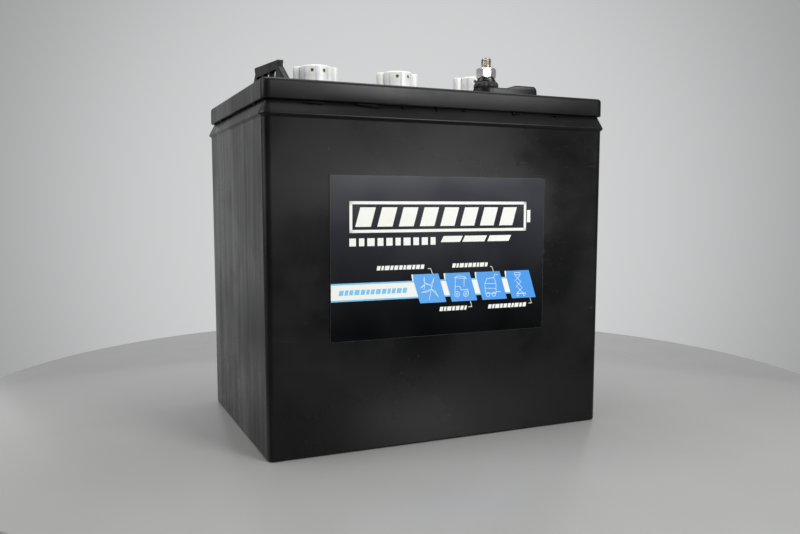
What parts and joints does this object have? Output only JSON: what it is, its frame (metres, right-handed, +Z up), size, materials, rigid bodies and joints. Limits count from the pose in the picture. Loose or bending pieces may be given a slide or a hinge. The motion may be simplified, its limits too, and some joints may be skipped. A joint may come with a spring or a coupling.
{
  "type": "deep cycle battery",
  "caption": "Black rectangular flooded deep cycle battery with a flanged lid, white winged vent caps, stud terminals, folding end handles and a printed front label.",
  "frame": {"origin": "centre of the flat base, on the surface the battery stands on", "axes": "+Z up, +X along the long side to the right when facing the label, label face looks along -Y"},
  "size_m": [0.2636, 0.1836, 0.2752],
  "materials": {
    "case_plastic": "black moulded polypropylene, satin gloss, faint scuffs and flow lines",
    "lid_plastic": "black moulded polypropylene, satin, brushed by handling",
    "label_film": "glossy printed film, navy fading to black, with blue and white bands",
    "handle_plastic": "black flexible polypropylene, fine grain",
    "pin_steel": "plain zinc plated pin",
    "cap_plastic": "white, slightly translucent polypropylene",
    "seal_rubber": "black moulded rubber",
    "terminal_lead": "dark coated cast lead",
    "cast_lead": "dull cast lead",
    "stud_steel": "stainless steel, machined",
    "nut_steel": "stainless steel, polished flats",
    "positive_paste": "brown lead dioxide paste on a lead grid",
    "negative_paste": "grey sponge lead on a lead grid",
    "separator_plastic": "porous ribbed sheet, off-white"
  },
  "bodies": {
    "root": {"container": "case_plastic", "lid": "lid_plastic", "front_label": "label_film", "handle_pin_left_front": "pin_steel", "handle_pin_left_rear": "pin_steel", "handle_pin_right_front": "pin_steel", "handle_pin_right_rear": "pin_steel", "positive_bushing": "terminal_lead", "positive_pillar": "cast_lead", "positive_stud": "stud_steel", "positive_flat_washer": "stud_steel", "negative_bushing": "terminal_lead", "negative_pillar": "cast_lead", "negative_stud": "stud_steel", "negative_flat_washer": "stud_steel", "positive_plates_cell_1": "positive_paste", "negative_plates_cell_1": "negative_paste", "separator_cell_1": "separator_plastic", "plate_guard_cell_1": "separator_plastic", "positive_plates_cell_2": "positive_paste", "negative_plates_cell_2": "negative_paste", "separator_cell_2": "separator_plastic", "plate_guard_cell_2": "separator_plastic", "positive_plates_cell_3": "positive_paste", "negative_plates_cell_3": "negative_paste", "separator_cell_3": "separator_plastic", "plate_guard_cell_3": "separator_plastic", "cell_connector_1_2": "cast_lead", "cell_connector_2_3": "cast_lead"},
    "handle_left": {"handle_left": "handle_plastic"},
    "handle_right": {"handle_right": "handle_plastic"},
    "vent_lift_1": {"vent_seal_1": "seal_rubber"},
    "vent_cap_1": {"vent_cap_1": "cap_plastic", "vent_baffle_1": "cap_plastic"},
    "vent_lift_2": {"vent_seal_2": "seal_rubber"},
    "vent_cap_2": {"vent_cap_2": "cap_plastic", "vent_baffle_2": "cap_plastic"},
    "vent_lift_3": {"vent_seal_3": "seal_rubber"},
    "vent_cap_3": {"vent_cap_3": "cap_plastic", "vent_baffle_3": "cap_plastic"},
    "positive_lock_washer": {"positive_spring_washer": "stud_steel"},
    "positive_nut": {"positive_nut": "nut_steel"},
    "negative_lock_washer": {"negative_spring_washer": "stud_steel"},
    "negative_nut": {"negative_nut": "nut_steel"}
  },
  "joints": [
    {"name": "left_handle_fold", "type": "hinge", "parent": "root", "child": "handle_left", "pos_m": [-0.103, 0, 0.2472], "axis": [0, -1, 0], "range_deg": [0, 82]},
    {"name": "right_handle_raise", "type": "hinge", "parent": "root", "child": "handle_right", "pos_m": [0.103, 0, 0.2472], "axis": [0, -1, 0], "range_deg": [0, 90]},
    {"name": "vent_cap_1_lift", "type": "slide", "parent": "root", "child": "vent_lift_1", "axis": [0, 0, 1], "range_m": [0, 0.045]},
    {"name": "vent_cap_1_turn", "type": "hinge", "parent": "vent_lift_1", "child": "vent_cap_1", "pos_m": [-0.067, 0, 0.25], "axis": [0, 0, 1], "range_deg": [-90, 0]},
    {"name": "vent_cap_2_lift", "type": "slide", "parent": "root", "child": "vent_lift_2", "axis": [0, 0, 1], "range_m": [0, 0.045]},
    {"name": "vent_cap_2_turn", "type": "hinge", "parent": "vent_lift_2", "child": "vent_cap_2", "pos_m": [0, 0, 0.25], "axis": [0, 0, 1], "range_deg": [-90, 0]},
    {"name": "vent_cap_3_lift", "type": "slide", "parent": "root", "child": "vent_lift_3", "axis": [0, 0, 1], "range_m": [0, 0.045]},
    {"name": "vent_cap_3_turn", "type": "hinge", "parent": "vent_lift_3", "child": "vent_cap_3", "pos_m": [0.067, 0, 0.25], "axis": [0, 0, 1], "range_deg": [-90, 0]},
    {"name": "positive_nut_turn", "type": "hinge", "parent": "root", "child": "positive_lock_washer", "pos_m": [0.0496, -0.053, 0.2595], "axis": [0, 0, 1], "range_deg": [0, 2160]},
    {"name": "positive_nut_rise", "type": "slide", "parent": "positive_lock_washer", "child": "positive_nut", "axis": [0, 0, 1], "range_m": [0, 0.0076]},
    {"name": "negative_nut_turn", "type": "hinge", "parent": "root", "child": "negative_lock_washer", "pos_m": [-0.0496, 0.053, 0.2595], "axis": [0, 0, 1], "range_deg": [0, 2160]},
    {"name": "negative_nut_rise", "type": "slide", "parent": "negative_lock_washer", "child": "negative_nut", "axis": [0, 0, 1], "range_m": [0, 0.0076]}
  ],
  "couplings": [
    {"joint": "positive_nut_rise", "follows": "positive_nut_turn", "m_per_rad": 0.00019894},
    {"joint": "negative_nut_rise", "follows": "negative_nut_turn", "m_per_rad": 0.00019894}
  ]
}
